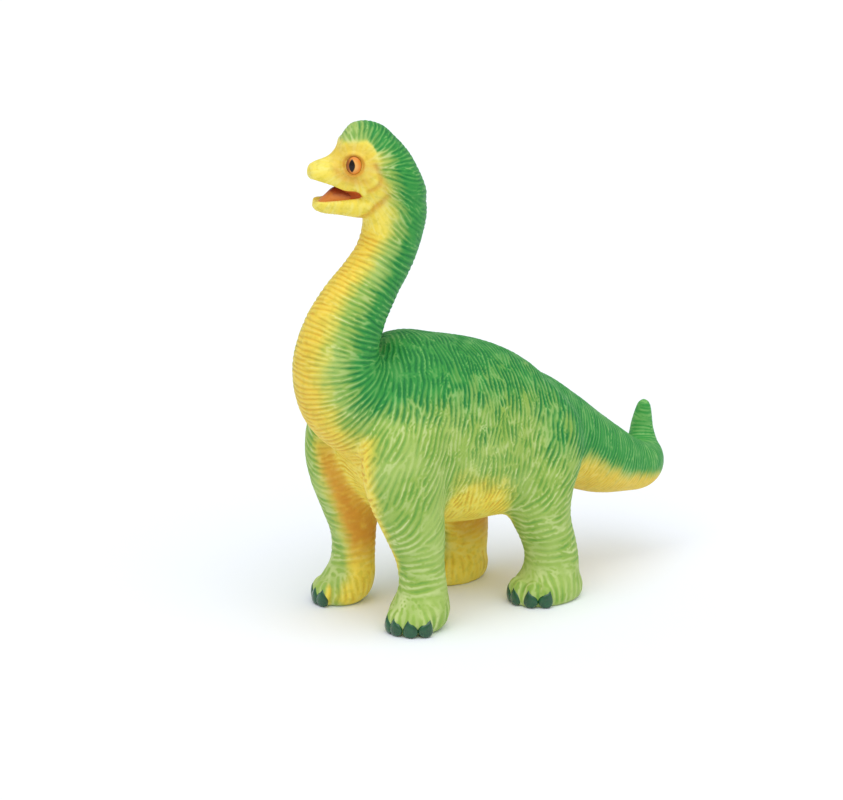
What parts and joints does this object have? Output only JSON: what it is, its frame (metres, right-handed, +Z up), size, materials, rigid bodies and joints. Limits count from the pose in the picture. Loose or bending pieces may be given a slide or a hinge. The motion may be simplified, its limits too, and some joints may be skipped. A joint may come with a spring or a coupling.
{
  "type": "toy dinosaur figure",
  "caption": "Standing long-necked toy dinosaur figure with folded skin, open mouth, clawed feet and an upturned tail, for play or display.",
  "frame": {"origin": "on the floor, in the middle of the figure's bounding box", "axes": "+X forward towards the chest and head, +Y to the figure's left, +Z up"},
  "size_m": [0.1796, 0.0654, 0.1915],
  "materials": {
    "trunk_vinyl": "satin, sprayed green over a light green moulding",
    "neck_vinyl": "satin, green back and yellow throat",
    "tail_vinyl": "satin, green above and yellow below",
    "leg_vinyl": "satin, with glossy dark green claws",
    "head_vinyl": "satin, yellow face and green crown, painted eyes",
    "jaw_vinyl": "satin yellow with an orange mouth lining"
  },
  "bodies": {
    "root": {"torso_left_shell": "trunk_vinyl", "torso_right_shell": "trunk_vinyl", "neck": "neck_vinyl", "tail": "tail_vinyl", "front_left_leg": "leg_vinyl", "front_right_leg": "leg_vinyl", "hind_left_leg": "leg_vinyl", "hind_right_leg": "leg_vinyl", "head": "head_vinyl", "lower_jaw": "jaw_vinyl"}
  },
  "joints": []
}
